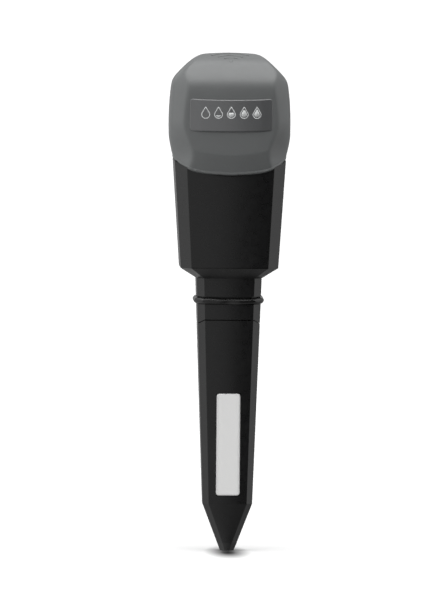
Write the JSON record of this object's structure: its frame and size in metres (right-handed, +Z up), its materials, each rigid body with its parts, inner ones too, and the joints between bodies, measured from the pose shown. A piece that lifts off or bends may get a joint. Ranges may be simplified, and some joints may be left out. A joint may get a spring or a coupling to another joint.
{
  "type": "soil moisture sensor",
  "caption": "Wireless soil moisture probe: tapered octagonal stake with a measuring field, depth ring, battery housing and soft lift-off cap.",
  "frame": {"origin": "on the stake's axis at the soil line, which the rubber depth ring marks", "axes": "+Z up along the stake's axis towards the cap, -Y towards the front with the measuring field, +X to the viewer's right"},
  "size_m": [0.0604, 0.0466, 0.2494],
  "materials": {
    "cap_plastic": "soft fine-grained grey",
    "housing_plastic": "fine-grained black",
    "window_plastic": "milky satin white",
    "ring_rubber": "satin black",
    "seal_rubber": "matt black",
    "inner_plastic": "matt dark grey",
    "circuit_board": "green solder mask",
    "copper": "bare copper",
    "film": "clear adhesive film",
    "chip_plastic": "moulded black",
    "tinned_metal": "tinned",
    "nickel": "nickel plated",
    "screw_steel": "zinc plated",
    "aluminium_can": "drawn can",
    "header_plastic": "natural nylon",
    "wire_insulation": "insulated wire",
    "cell_jacket": "printed sleeve",
    "button_plastic": "orange",
    "clear_plastic": "clear",
    "led_lens": "green lens"
  },
  "bodies": {
    "root": {"housing": "housing_plastic", "depth_ring": "ring_rubber", "cap_seal": "seal_rubber", "neck_gasket": "seal_rubber", "stake_front_shell": "housing_plastic", "stake_rear_shell": "housing_plastic", "measuring_plate": "window_plastic", "plate_gasket": "seal_rubber", "coupling_film": "film", "sensor_electrodes": "copper", "sensor_board": "circuit_board", "sensor_board_parts": "chip_plastic", "sensor_board_screws": "screw_steel", "sensor_leads": "wire_insulation", "lead_plug": "header_plastic", "board_header": "header_plastic", "header_pins": "tinned_metal", "main_board": "circuit_board", "board_screws": "screw_steel", "radio_module": "tinned_metal", "controller_chip": "chip_plastic", "crystal": "nickel", "storage_capacitor": "aluminium_can", "chip_capacitors": "chip_plastic", "antenna": "copper", "tact_switch": "chip_plastic", "status_led": "led_lens", "light_pipe": "clear_plastic", "battery_tray": "inner_plastic", "battery_a": "cell_jacket", "battery_b": "cell_jacket", "contact_spring": "nickel", "contact_plate": "nickel", "battery_wires": "wire_insulation", "deck": "inner_plastic", "deck_screws": "screw_steel"},
    "cap_group": {"cap": "cap_plastic", "label_plate": "cap_plastic", "bridge_contact": "nickel", "bridge_screw": "screw_steel"},
    "button_group": {"link_button": "button_plastic", "switch_plunger": "header_plastic"}
  },
  "joints": [
    {"name": "cap_lift", "type": "slide", "parent": "root", "child": "cap_group", "axis": [0, 0, 1], "range_m": [0, 0.06]},
    {"name": "link_button_press", "type": "slide", "parent": "root", "child": "button_group", "axis": [0, 0, -1], "range_m": [0, 0.0006], "stiffness_N_per_m": 800}
  ]
}
